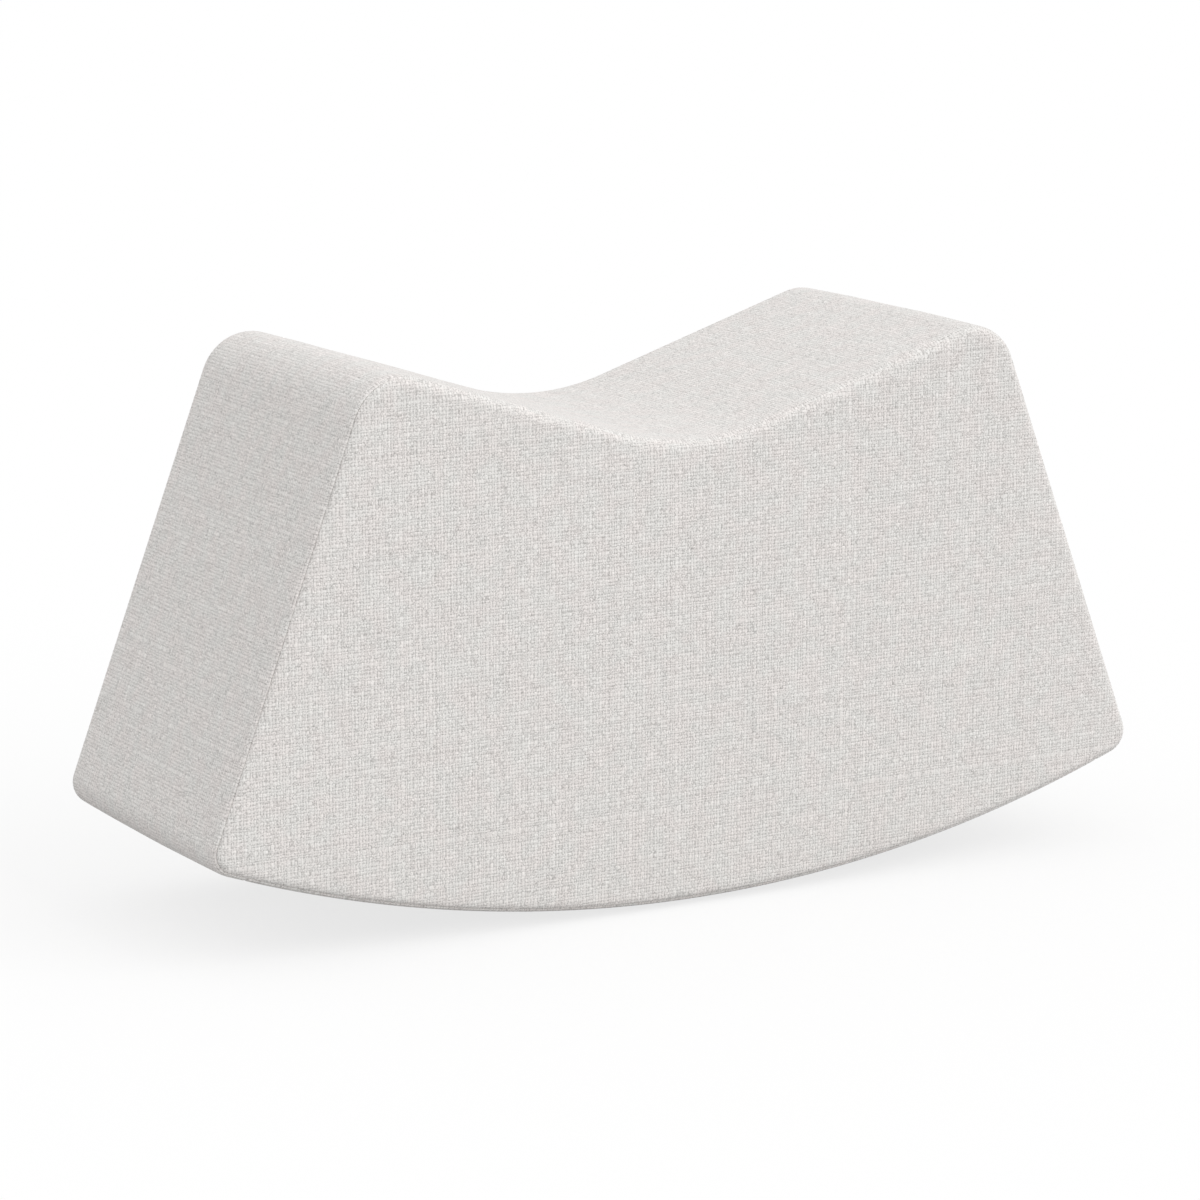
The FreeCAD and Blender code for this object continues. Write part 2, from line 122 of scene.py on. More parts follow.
# Right half of the profile from the middle of the base round to the middle of the saddle,
# with the top, the end and the base each moved in by its own amount
def profile(top, end, base, crestRadius, toeRadius):
    reach = stool["rockerRadius"] - base
    bowl = stool["saddleRadius"] + top
    crestAt = crestCorner(top + crestRadius, end + crestRadius)
    toeAt = toeCorner(end + toeRadius, reach - toeRadius)
    toeOut = unit(toeAt[0], toeAt[1] - rockerCentre)
    topLow = (bowl * math.sin(slope), saddleCentre - bowl * math.cos(slope))
    down, up = -math.pi / 2, math.pi / 2
    return {
        "base": arcPart((0, rockerCentre), reach, down, angleOf(toeOut)),
        "toe": arcPart(toeAt, toeRadius, angleOf(toeOut), angleOf(endOut)),
        "end": linePart(moved(toeAt, endOut, toeRadius), moved(crestAt, endOut, crestRadius), endOut),
        "crest": arcPart(crestAt, crestRadius, angleOf(endOut), angleOf(topOut)),
        "top": linePart(moved(crestAt, topOut, crestRadius), topLow, topOut),
        "saddle": arcPart((0, saddleCentre), -bowl, angleOf(topOut), up),
    }


def walk(parts, run):
    for length, place in parts:
        if run <= length:
            return place(max(run, 0) / length)
        run -= length
    return place(1)


outline = profile(0, 0, 0, stool["crestRound"], stool["toeRound"])
outlineParts = list(outline.values())
halfRound = sum(length for length, _ in outlineParts)
baseRun = outline["base"][0]
toeMiddle = baseRun + outline["toe"][0] / 2
crestMiddle = baseRun + outline["toe"][0] + outline["end"][0] + outline["crest"][0] / 2
baseSeam = baseRun - stool["baseSeamInset"]
frameHalf = stool["depth"] / 2 - stool["cloth"] - stool["faceFoam"]
sideHalf = stool["depth"] / 2 - stool["edgeRound"]


# Point and outward direction at a length round the outline, from the middle of the base towards +X
def aroundStool(run):
    run = (run + halfRound) % (2 * halfRound) - halfRound
    x, z, nx, nz = walk(outlineParts, abs(run))
    side = 1 if run >= 0 else -1
    return side * x, z, side * nx, nz


def spread(start, stop, count):
    return [start + (stop - start) * n / count for n in range(count)]


# More stations between those of a list, and for a closed loop also after the last
def finer(runs, times, closed):
    after = runs[1:] + ([runs[0] + 2 * halfRound] if closed else [])
    made = []
    for a, b in zip(runs, after):
        made += spread(a, b, times)
    return made if closed else made + [runs[-1]]


# Soft unevenness from a few slow waves, the same on every run
def softWaves(seed, length):
    draw = random.Random(seed)
    waves = []
    for _ in range(7):
        turn = draw.uniform(0, math.tau)
        rate = math.tau / (length * draw.uniform(0.7, 1.6))
        waves.append((rate * math.cos(turn), rate * math.sin(turn), draw.uniform(0, math.tau)))
    return lambda u, v: sum(math.sin(a * u + b * v + c) for a, b, c in waves) / 4


class Skin:
    def __init__(self):
        self.points, self.places, self.faces = [], [], []

    def add(self, point, place):
        self.points.append(point)
        self.places.append(place)
        return len(self.points) - 1

    # Joins two rows side by side, where one may have several times the other's stations
    def link(self, a, b, closed):
        cells = min(len(a), len(b)) - (0 if closed else 1)
        for n in range(cells):
            ring = []
            for row in (a, b):
                times = (len(row) - (0 if closed else 1)) // cells
                part = [row[(n * times + k) % len(row)] for k in range(times + 1)]
                ring += part if row is a else part[::-1]
            self.faces.append(ring)

    # Fills a closed loop with a grid of across by up cells, drawn from its four sides
    def fill(self, loop, across, up, lift, mirrored):
        total = len(loop)
        grid = {}
        for i in range(across + 1):
            grid[i, 0] = loop[i]
            grid[i, up] = loop[across + up + across - i]
        for j in range(1, up):
            grid[across, j] = loop[across + j]
            grid[0, j] = loop[(2 * across + up + up - j) % total]
        spot = {key: Vector(self.points[index]) for key, index in grid.items()}
        mark = {key: Vector(self.places[index]) for key, index in grid.items()}
        for j in range(1, up):
            v = j / up
            for i in range(1, across):
                u = i / across
                made = []
                for known in (spot, mark):
                    sides = known[i, 0] * (1 - v) + known[i, up] * v
                    sides += known[0, j] * (1 - u) + known[across, j] * u
                    corners = known[0, 0] * (1 - u) * (1 - v) + known[across, 0] * u * (1 - v)
                    corners += known[0, up] * (1 - u) * v + known[across, up] * u * v
                    made.append(sides - corners)
                made[0].y += lift(u, v, made[0])
                grid[i, j] = self.add(*made)
        for j in range(up):
            for i in range(across):
                face = [grid[i, j], grid[i + 1, j], grid[i + 1, j + 1], grid[i, j + 1]]
                self.faces.append(face[::-1] if mirrored else face)

    # Turns the rows and grids into one closed object that rides on a body
    def piece(self, name, material, body="root", nodes=(), sharp=50):
        mesh = bpy.data.meshes.new(name)
        mesh.from_pydata([tuple(p) for p in self.points], [], self.faces)
        place = mesh.attributes.new("clothPlace", "FLOAT_VECTOR", "POINT")
        place.data.foreach_set("vector", [value for spot in self.places for value in spot])
        shaped = bmesh.new()
        shaped.from_mesh(mesh)
        bmesh.ops.recalc_face_normals(shaped, faces=shaped.faces)
        shaped.to_mesh(mesh)
        shaped.free()
        mesh.shade_smooth()
        mesh.set_sharp_from_angle(angle=math.radians(sharp))
        mesh.materials.append(material)
        made = bpy.data.objects.new(name, mesh)
        bpy.context.collection.objects.link(made)
        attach(made, body)
        if nodes:
            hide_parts(*nodes)
        return made


# Materials: colours are sRGB hex, patterns are sized in real millimetres


def toLinear(hexColour):
    channels = [int(hexColour[n : n + 2], 16) / 255 for n in (1, 3, 5)]
    return (*[c / 12.92 if c <= 0.04045 else ((c + 0.055) / 1.055) ** 2.4 for c in channels], 1)


# Adds a node. An input is named or numbered, and takes a value, a socket or a node's first output.
def addNode(tree, kind, settings, inputs):
    made = tree.nodes.new("ShaderNode" + kind)
    for key, value in settings.items():
        setattr(made, key, value)
    for key, value in inputs.items():
        sockets = [s for s in made.inputs if s.enabled and s.name == key]
        socket = sockets[0] if sockets else made.inputs[key]
        if isinstance(value, bpy.types.Node):
            value = firstOutput(value)
        if isinstance(value, bpy.types.NodeSocket):
            tree.links.new(value, socket)
        else:
            socket.default_value = value
    return made


# The sum, product or other Math node of some values
def maths(tree, operation, *values):
    return addNode(tree, "Math", {"operation": operation}, dict(enumerate(values)))


def scaled(tree, place, factors):
    return addNode(tree, "VectorMath", {"operation": "MULTIPLY"}, {0: place, 1: factors})


def firstOutput(node):
    return next(socket for socket in node.outputs if socket.enabled)


def newMaterial(name):
    material = bpy.data.materials.new(name)
    material.use_nodes = True
    tree = material.node_tree
    return material, tree, tree.nodes["Principled BSDF"]


def ramp(tree, value, stops):
    made = addNode(tree, "ValToRGB", {}, {0: value})
    elements = made.color_ramp.elements
    while len(elements) < len(stops):
        elements.new(0.5)
    for element, (place, colour) in zip(elements, stops):
        element.position = place
        element.color = toLinear(colour)
    return made


# The object's own place, stretched along its axes and counted in steps of size
def steps(tree, size, stretch=(1, 1, 1)):
    coords = addNode(tree, "TexCoord", {}, {}).outputs["Object"]
    return scaled(tree, coords, [s / size for s in stretch])


# The same for the place in the cloth, along a piece's length and across it
def clothSteps(tree, size, stretch=(1, 1, 1)):
    coords = addNode(tree, "Attribute", {"attribute_name": "clothPlace"}, {}).outputs["Vector"]
    return scaled(tree, coords, [s / size for s in stretch])


def noiseOf(tree, place, detail=3, rough=0.55, warp=0.0, rate=1.0):
    inputs = {"Vector": place, "Scale": rate, "Detail": detail, "Roughness": rough, "Distortion": warp}
    return addNode(tree, "TexNoise", {}, inputs).outputs["Fac"]


# Distance from the nearest of many scattered points that lie about size apart
def cellsOf(tree, size, feature):
    made = addNode(tree, "TexVoronoi", {"feature": feature}, {"Vector": steps(tree, size), "Scale": 1.0})
    return made.outputs["Distance"]


# Light and dark bands or rings, one for each step along the axis or out from it
def waveOf(tree, place, kind, axis, warp):
    settings = {"wave_type": kind, kind.lower() + "_direction": axis}
    inputs = {"Vector": place, "Scale": math.pi / 10, "Distortion": warp, "Detail": 2}
    return addNode(tree, "TexWave", settings, inputs).outputs["Fac"]


def blended(tree, a, b, share):
    return addNode(tree, "Mix", {}, {"Factor": share, "A": a, "B": b})


# One finish: a pattern from 0 to 1 gives its colours, roughness and relief
def patterned(name, pattern, stops, rough, relief, metal=0.0):
    material, tree, shader = newMaterial(name)
    value = pattern(tree)
    if isinstance(value, bpy.types.Node):
        value = firstOutput(value)
    spans = {"Value": value, "To Min": rough[0], "To Max": rough[1]}
    tree.links.new(ramp(tree, value, stops).outputs[0], shader.inputs["Base Color"])
    tree.links.new(addNode(tree, "MapRange", {}, spans).outputs[0], shader.inputs["Roughness"])
    bump = addNode(tree, "Bump", {}, {"Height": value, "Distance": relief, "Strength": 0.8})
    tree.links.new(bump.outputs[0], shader.inputs["Normal"])
    shader.inputs["Metallic"].default_value = metal
    return material


print("materials")

# Heathered plain weave of polyester and linen-look yarn: a light and a darker fibre twisted together,
# slubs along the warp, painted shade in the pinholes between the threads, and a dry, slightly fuzzy
# surface.
weave = {
    "pitch": 2.0 * mm,  # middle of one thread to the next
    "spacing": 0.2,  # how uneven the threads' spacing is
    "spacingRate": 0.47,
    "wander": 0.12,  # how far a thread strays from its line, in pitches
    "wanderLength": 5.0,  # over how many pitches
    "slubRate": 0.3,  # slowest change of the warp's tone in each pitch along it
    "weftRate": 3.0,
    "threadJump": 7.3,  # from one thread to the next in the noise that gives its tone
    "weftJump": 31.7,
    "flatness": 0.55,  # below 1 a thread is broader on top than a half round
    "crimp": 0.25,  # how far a thread dives under the one that crosses it
    "fleck": 0.85,  # how strongly single fibres stand out from their yarn's tone
    "fleckRate": 2.2,
    "toneGain": 0.85,
    "toneShift": -0.1,
    "darkYarn": "#aaa7a5",
    "middleYarn": "#e9e6e4",
    "lightYarn": "#fbf8f6",
    # Painted shade in the gaps between the threads: the colour they darken to, and how far
    "pinholeShade": "#b5b2b0",
    "pinholeShadeDepth": 0.8,
    "coolTint": "#fcfdfc",
    "warmTint": "#fefcfb",
    "tintSize": 15 * mm,
    "fuzz": 0.35,
    "fuzzRate": 4.0,
    "relief": 0.42 * mm,
    "roughness": 0.93,
    "specular": 0.22,
    "sheen": 0.12,
}


# Thread number, rounding across the thread and its waving over and under the others
def threadOf(tree, own, other):
    number = maths(tree, "FLOOR", own)
    turned = maths(tree, "MULTIPLY", maths(tree, "FRACT", own), math.pi)
    rounded = maths(tree, "POWER", maths(tree, "SINE", turned), weave["flatness"])
    shifted = maths(tree, "ADD", other, number)
    waved = maths(tree, "MULTIPLY_ADD", shifted, math.pi, -math.pi / 2)
    return number, rounded, maths(tree, "COSINE", waved)


def heatheredPlainWeave():
    material, tree, shader = newMaterial("heathered polyester plain weave")
    threads = clothSteps(tree, weave["pitch"])
    slow = {"Vector": threads, "Scale": 1 / weave["wanderLength"], "Detail": 3, "Roughness": 0.65}
    stray = addNode(tree, "TexNoise", {}, slow)
    both = {0: stray.outputs["Color"], 1: (0.5, 0.5, 0.5)}
    centred = addNode(tree, "VectorMath", {"operation": "SUBTRACT"}, both)
    reach = {0: centred, 1: (6 * weave["wander"],) * 3, 2: threads}
    strayed = addNode(tree, "VectorMath", {"operation": "MULTIPLY_ADD"}, reach)
    parted = addNode(tree, "SeparateXYZ", {}, {0: strayed})
    lines = []
    for axis in ("X", "Y"):
        wide = {"W": parted.outputs[axis], "Scale": weave["spacingRate"], "Detail": 1}
        spaced = addNode(tree, "TexNoise", {"noise_dimensions": "1D"}, wide)
        lines.append(maths(tree, "MULTIPLY_ADD", spaced, 6 * weave["spacing"], parted.outputs[axis]))

    heights, tones = [], []
    warp, weft = (*lines, 1, weave["slubRate"]), (*lines[::-1], -1, weave["weftRate"])
    for kind, (own, other, sign, rate) in enumerate((warp, weft)):
        number, rounded, wave = threadOf(tree, own, other)
        lift = maths(tree, "MULTIPLY_ADD", wave, weave["crimp"] * sign, 1 - weave["crimp"])
        heights.append(maths(tree, "MULTIPLY", rounded, lift))
        along = maths(tree, "MULTIPLY", other, rate)
        apart = maths(tree, "MULTIPLY", number, weave["threadJump"])
        spot = addNode(tree, "CombineXYZ", {}, {0: apart, 1: along, 2: weave["weftJump"] * kind})
        tones.append(noiseOf(tree, spot, 4 - 2 * kind, 0.85))
    over = maths(tree, "GREATER_THAN", *heights)
    height = maths(tree, "MAXIMUM", *heights)
    tone = addNode(tree, "Mix", {}, {"Factor": over, "A": tones[1], "B": tones[0]})

    single = noiseOf(tree, threads, 2, 0.7, rate=weave["fleckRate"])
    toned = maths(tree, "MULTIPLY_ADD", tone, weave["toneGain"], weave["toneShift"])
    flecked = maths(tree, "MULTIPLY_ADD", single, weave["fleck"], toned)
    stops = [(0.5, weave["darkYarn"]), (0.75, weave["middleYarn"]), (0.97, weave["lightYarn"])]
    # Painted shade: where the threads lie low between one another, the colour darkens towards the pinhole
    # shade
    low = {"From Min": 0.25, "From Max": 0.75, "To Min": weave["pinholeShadeDepth"], "To Max": 0}
    pinholeShadeShare = addNode(tree, "MapRange", {}, {"Value": height, **low})
    pinholeShadeMix = {"Factor": pinholeShadeShare, "A": ramp(tree, flecked, stops), "B": toLinear(weave["pinholeShade"])}
    pinholeShaded = addNode(tree, "Mix", {"data_type": "RGBA"}, pinholeShadeMix)
    patch = noiseOf(tree, clothSteps(tree, weave["tintSize"]), 2, 0.5)
    tint = ramp(tree, patch, [(0.38, weave["coolTint"]), (0.62, weave["warmTint"])])
    tinted = {"Factor": 1.0, "A": pinholeShaded, "B": tint}
    coloured = addNode(tree, "Mix", {"data_type": "RGBA", "blend_type": "MULTIPLY"}, tinted)
    tree.links.new(firstOutput(coloured), shader.inputs["Base Color"])

    hairs = noiseOf(tree, threads, 3, 0.7, rate=weave["fuzzRate"])
    fuzzy = maths(tree, "MULTIPLY_ADD", hairs, weave["fuzz"], height)
    bump = addNode(tree, "Bump", {}, {"Height": fuzzy, "Distance": weave["relief"], "Strength": 0.8})
    tree.links.new(bump.outputs[0], shader.inputs["Normal"])
    shader.inputs["Roughness"].default_value = weave["roughness"]
    shader.inputs["Specular IOR Level"].default_value = weave["specular"]
    shader.inputs["Sheen Weight"].default_value = weave["sheen"]
    shader.inputs["Sheen Roughness"].default_value = 0.5
    return material


cloth = heatheredPlainWeave()


# Open cells a little under a millimetre across, with painted shade darkening their pits, and a slow
# yellowing
def foamCells(tree):
    return blended(tree, cellsOf(tree, 0.8 * mm, "F1"), noiseOf(tree, steps(tree, 40 * mm)), 0.45)


foamFinish = patterned(
    "cut polyurethane foam", foamCells,
    [(0.2, "#d3c49c"), (0.5, "#e6d9b6"), (0.8, "#f1e8cf")], (0.9, 1.0), 0.35 * mm,
)


# Loose crimped fibres that lie one over another, with airy thin places
def waddingFibres(tree):
    one = noiseOf(tree, steps(tree, 0.5 * mm, (1, 0.12, 0.5)), 2, 0.6, 1.5)
    two = noiseOf(tree, steps(tree, 0.5 * mm, (0.15, 1, 0.4)), 2, 0.6, 1.5)
    return blended(tree, blended(tree, one, two, 0.5), noiseOf(tree, steps(tree, 14 * mm)), 0.4)


waddingFinish = patterned(
    "bonded polyester wadding", waddingFibres,
    [(0.3, "#dfe0de"), (0.6, "#f3f3f1")], (0.85, 1.0), 0.7 * mm,
)


# Matted short fibres, with light and dark hairs mixed in
def feltHairs(tree):
    hairs = noiseOf(tree, steps(tree, 0.35 * mm, (1, 0.3, 1)), 4, 0.75, 2.0)
    return blended(tree, hairs, noiseOf(tree, steps(tree, 9 * mm)), 0.35)


feltFinish = patterned(
    "needled wool felt", feltHairs,
    [(0.35, "#77746f"), (0.5, "#98958f"), (0.65, "#bab7b1")], (0.9, 1.0), 0.3 * mm,
)


# Rotary-cut veneer: long broad figure along the board and fine open pores in it
def veneerFigure(tree):
    figure = noiseOf(tree, steps(tree, 22 * mm, (0.16, 1, 1)), 3, 0.55, 0.8)
    return blended(tree, figure, noiseOf(tree, steps(tree, 0.7 * mm, (0.08, 1, 1)), 2), 0.35)


# The same veneer on the faces, and its plies as light and dark lines on the cut edges
def veneerPlies(tree):
    plies = waveOf(tree, steps(tree, 4.8 * mm), "BANDS", "Y", 0.0)
    return blended(tree, veneerFigure(tree), plies, 0.3)


woodTones = [(0.3, "#c3a06c"), (0.55, "#d8bc8c"), (0.75, "#e6d0a6")]
deckFinish = patterned("rotary-cut poplar plywood", veneerFigure, woodTones, (0.5, 0.7), 0.08 * mm)
panelFinish = patterned("laminated poplar plywood", veneerPlies, woodTones, (0.5, 0.7), 0.08 * mm)


# Growth rings cut along their length: dark late wood in narrow lines, planed smooth
def pineRings(tree):
    rings = waveOf(tree, steps(tree, 3.2 * mm, (1, 0.04, 1)), "RINGS", "Y", 3.0)
    return blended(tree, rings, noiseOf(tree, steps(tree, 1.2 * mm, (1, 0.05, 1)), 2), 0.3)


railFinish = patterned(
    "planed pine", pineRings,
    [(0.2, "#c08f55"), (0.45, "#dcb77d"), (0.8, "#ead3a2")], (0.4, 0.6), 0.06 * mm,
)


# Drawn wire: fine scratches along it and a dull zinc bloom
def wireDrawing(tree):
    return noiseOf(tree, steps(tree, 0.4 * mm, (1, 1, 0.1)), 3)


stapleFinish = patterned(
    "galvanised steel wire", wireDrawing,
    [(0.3, "#8d9092"), (0.7, "#bfc2c4")], (0.25, 0.5), 0.02 * mm, 1.0,
)


# Fine pebbled grip with pale dust from the floor caught between its bumps
def rubberPebbles(tree):
    dust = noiseOf(tree, steps(tree, 18 * mm), 4, 0.7)
    return blended(tree, cellsOf(tree, 1.3 * mm, "SMOOTH_F1"), dust, 0.4)


gripFinish = patterned(
    "moulded black rubber", rubberPebbles,
    [(0.25, "#161616"), (0.5, "#222221"), (0.72, "#3b3a38")], (0.6, 0.85), 0.12 * mm,
)


# Narrow woven tape: ribs along its length crossed by fine picks
def tapeWeave(tree):
    ribs = waveOf(tree, clothSteps(tree, 0.9 * mm), "BANDS", "Y", 0.4)
    picks = waveOf(tree, clothSteps(tree, 0.6 * mm), "BANDS", "X", 0.4)
    return blended(tree, ribs, picks, 0.45)


tapeFinish = patterned(
    "woven polyester zip tape", tapeWeave,
    [(0.1, "#a8a49f"), (0.5, "#c5c1bc"), (0.9, "#d9d6d1")], (0.75, 0.95), 0.12 * mm,
)


# Moulded plastic: a satin skin, a little cloudy, with the faint texture of the mould
def mouldSkin(tree):
    return blended(tree, noiseOf(tree, steps(tree, 3 * mm)), noiseOf(tree, steps(tree, 0.25 * mm), 2), 0.35)


toothFinish = patterned(
    "moulded acetal", mouldSkin,
    [(0.3, "#b0aca6"), (0.7, "#c6c2bc")], (0.3, 0.45), 0.02 * mm,
)


# Die-cast zinc under lacquer: soft orange peel and a few rubbed, brighter places
def lacquerPeel(tree):
    rubbed = noiseOf(tree, steps(tree, 5 * mm), 4, 0.7)
    return blended(tree, noiseOf(tree, steps(tree, 0.9 * mm), 2), rubbed, 0.5)


sliderFinish = patterned(
    "lacquered zinc casting", lacquerPeel,
    [(0.35, "#9d9892"), (0.65, "#bdb9b3")], (0.22, 0.42), 0.03 * mm, 0.85,
)


# Two plies twisted round each other: slanting light and dark turns along the thread
def threadTwist(tree):
    return waveOf(tree, clothSteps(tree, 0.45 * mm, (1, 1, 0)), "BANDS", "DIAGONAL", 0.5)


threadFinish = patterned(
    "spun polyester sewing thread", threadTwist,
    [(0.2, "#d6d3ce"), (0.8, "#f2efec")], (0.6, 0.8), 0.06 * mm,
)

# Sewn cover

cover = {
    "cellsAcross": 200,
    "cellsUp": 96,
    "toeCells": 7,  # of the cells across, those beyond the base's seam on each side
    "fine": 3,  # stations beside the seams for each one elsewhere
    "coarse": 4,
    "stitch": 3.5 * mm,
    "faceCrown": 1.3 * mm,
    "endCrown": 0.9 * mm,
    "unevenness": 0.22 * mm,
    "unevenLength": 90 * mm,
    "rowPitch": 4.2 * mm,
    # Across the seam: distance from it over the surface, depth under the rounding, pull of a stitch
    "outerRows": [
        (5.26, 0.0, 0.0), (4.2, 0.0, 0.03), (3.2, 0.0, 0.06), (2.3, 0.02, 0.10), (1.6, 0.05, 0.15),
        (1.05, 0.12, 0.2), (0.65, 0.23, 0.22), (0.35, 0.4, 0.18), (0.12, 0.62, 0.08), (0.01, 0.85, 0.0),
        (0.01, 1.5, 0.0),
    ],
    "innerRows": [(0.6, 1.9, 0.0), (1.5, 1.7, 0.0), (2.4, 1.4, 0.0), (5.26, 1.2, 0.0)],
    "topDepth": 0.35,  # share of the seam's depth over the top, where the cloth is drawn tight
    "endDepth": 1.1,
    "baseDepth": 1.4,
    "depthEase": 25 * mm,
}

across, up = cover["cellsAcross"], cover["cellsUp"]
between = across - 2 * cover["toeCells"]
faceRuns = spread(-toeMiddle, -baseSeam, cover["toeCells"]) + spread(-baseSeam, baseSeam, between)
faceRuns += spread(baseSeam, toeMiddle, cover["toeCells"]) + spread(toeMiddle, crestMiddle, up)
faceRuns += spread(crestMiddle, 2 * halfRound - crestMiddle, across)
faceRuns += spread(2 * halfRound - crestMiddle, 2 * halfRound - toeMiddle, up)
stitchShift = softWaves(11, 60 * mm)


# From 0 between two stitches to 1 at a stitch
def stitchPull(run):
    return 0.5 + 0.5 * math.cos(math.tau * run / cover["stitch"] + 1.2 * stitchShift(run, 0))


# Inset, half depth and outward direction of a spot in the rounded edge. Across is positive towards
# the face and negative towards the band, depth is under the rounding, both from the seam.
def edgeSpot(acrossSeam, under):
    radius = stool["edgeRound"]
    turn = math.pi / 4 - acrossSeam / radius
    inset = radius - (radius - under) * math.sin(turn)
    deep = sideHalf + (radius - under) * math.cos(turn)
    return inset, deep, (math.sin(turn), math.cos(turn)), turn


def eased(share):
    share = min(1, max(0, share))
    return share * share * (3 - 2 * share)


# Share of the seam's depth at a length round the outline
def seamDepth(run):
    run = abs((run + halfRound) % (2 * halfRound) - halfRound)
    toTop = eased((run - crestMiddle) / cover["depthEase"] + 0.5)
    toBase = eased((toeMiddle - run) / cover["depthEase"] + 0.5)
    depth = cover["endDepth"] + (cover["topDepth"] - cover["endDepth"]) * toTop
    return depth + (cover["baseDepth"] - cover["endDepth"]) * toBase


def edgePoint(run, side, acrossSeam, under, pull):
    x, z, nx, nz = aroundStool(run)
    inset, deep, out, turn = edgeSpot(acrossSeam, under)
    lift = pull * (0.5 - stitchPull(run))
    inset -= lift * out[0]
    deep += lift * out[1]
    point = Vector((x - nx * inset, side * deep, z - nz * inset))
    if acrossSeam > 0:
        grown = turn * stool["edgeRound"] - stool["edgeRound"]
        return point, (x + nx * grown + 4 * side, z + nz * grown, 0)
    return point, (run, side * (sideHalf + (math.pi / 2 - turn) * stool["edgeRound"]), 0)


def coverFace(name, side, node):
    skin = Skin()
    uneven = softWaves(21 + side, cover["unevenLength"])
    fineRuns = finer(faceRuns, cover["fine"], True)
    rows = []
    last = len(cover["outerRows"]) - 1
    for n, (acrossSeam, under, pull) in enumerate(cover["outerRows"]):
        runs = faceRuns if n == 0 or n == last else fineRuns
        row = []
        for run in runs:
            deep = under * mm * seamDepth(run)
            row.append(skin.add(*edgePoint(run, side, acrossSeam * mm, deep, pull * mm)))
        rows.append(row)
    for n, (acrossSeam, under, pull) in enumerate(cover["innerRows"]):
        runs = faceRuns if n < 3 else faceRuns[:: cover["coarse"]]
        spots = [edgePoint(run, side, acrossSeam * mm, under * mm, 0) for run in runs]
        rows.append([skin.add(*spot) for spot in spots])
    for a, b in zip(rows, rows[1:]):
        skin.link(a, b, True)

    def lift(u, v, spot):
        window = 16 * u * (1 - u) * v * (1 - v)
        soft = cover["unevenness"] * min(1, 3 * window) * uneven(spot.x, spot.z)
        return side * (cover["faceCrown"] * window + soft)

    skin.fill(rows[0], across, up, lift, side > 0)
    times = cover["coarse"]
    skin.fill(rows[-1], across // times, up // times, lambda u, v, spot: 0, side < 0)
    return skin.piece(name, cloth, nodes=[node])


# A strip of the cover that is as long as runs, from one of its own edges to the other. Its rows are
# given across, and its two cut ends are closed.
def closeStrip(skin, rows):
    for a, b in zip(rows, rows[1:] + rows[:1]):
        skin.link(a, b, False)
    skin.faces.append([row[0] for row in rows])
    skin.faces.append([row[-1] for row in rows][::-1])


# Dip of the cloth beside the seam across the base
def endDip(run, start, stop):
    near = min(abs(run - start), abs(run - stop))
    return 0.7 * mm * math.exp(-((near / (0.7 * mm)) ** 2)) + 0.1 * mm * math.exp(-near / (3 * mm))


def stripRuns(start, stop, step):
    ends = [0, 0.35 * mm, 0.8 * mm, 1.5 * mm, 2.6 * mm]
    count = int((stop - start - 2 * ends[-1]) / step)
    middle = spread(start + ends[-1], stop - ends[-1], count)
    return [start + e for e in ends[:-1]] + middle + [stop - e for e in ends[::-1]]


def coverBand():
    skin = Skin()
    start, stop = baseSeam, 2 * halfRound - baseSeam
    runs = stripRuns(start, stop, 3 * mm)
    fineRuns = finer(runs, cover["fine"], False)
    uneven = softWaves(31, cover["unevenLength"])

    def sidePoint(run, y, under):
        x, z, nx, nz = aroundStool(run)
        share = 1 - (y / sideHalf) ** 2
        out = 0 if under else cover["endCrown"] * share + cover["unevenness"] * uneven(run, y) * share
        out -= under + (0 if under else endDip(run, start, stop))
        return Vector((x + nx * out, y, z + nz * out)), (run, y, 0)

    def seamRows(side, table, inside):
        made = []
        for n, (acrossSeam, under, pull) in enumerate(table):
            coarse = inside or n == len(table) - 1
            spots = []
            for run in runs if coarse else fineRuns:
                deep = under * mm if inside else under * mm * seamDepth(run) + endDip(run, start, stop)
                spots.append(skin.add(*edgePoint(run, side, -acrossSeam * mm, deep, pull * mm)))
            made.append(spots)
        return made

    count = int(2 * sideHalf / cover["rowPitch"])
    ys = spread(-sideHalf, sideHalf, count)[1:]
    outer = cover["outerRows"][:0:-1]
    rows = seamRows(-1, outer, False)
    rows += [[skin.add(*sidePoint(run, y, 0)) for run in runs] for y in [-sideHalf] + ys + [sideHalf]]
    rows += seamRows(1, outer, False)[::-1]
    rows += seamRows(1, cover["innerRows"], True)
    rows += [[skin.add(*sidePoint(run, y, stool["cloth"])) for run in runs] for y in ys[::-5]]
    rows += seamRows(-1, cover["innerRows"], True)[::-1]
    closeStrip(skin, rows)
    return skin.piece("coverBand", cloth, nodes=["cover_band"])


# Half of the cover's base, from the seam at its face to a hem along the zip
base = {
    "mouth": 227.7 * mm,  # half length of the opening for the zip
    "opening": 5.5 * mm,  # half its width
    "turnLength": 3 * mm,  # over which the hem runs in to the middle at each end
    "hemStitch": 3.0,
    # In from the folded edge: distance, depth, pull of a stitch, and whether the row is fine
    "hemRows": [
        (5.5, 0.0, 0.0, False), (4.2, -0.03, 0.06, True), (3.4, -0.08, 0.2, True), (3.0, -0.05, 0.45, True),
        (2.6, -0.1, 0.2, True), (1.6, -0.16, 0.05, True), (0.8, -0.12, 0.0, False), (0.3, 0.05, 0.0, False),
        (0.05, 0.35, 0.0, False), (0.0, 0.62, 0.0, False),
    ],
    "underRows": [(0.08, 0.9, 0.0, False), (0.5, 1.15, 0.0, False), (3.0, 1.2, 0.0, False)],
}


def hemEdge(run):
    share = eased((abs(run) - base["mouth"]) / base["turnLength"] + 0.7)
    return base["opening"] + (0.03 * mm - base["opening"]) * share


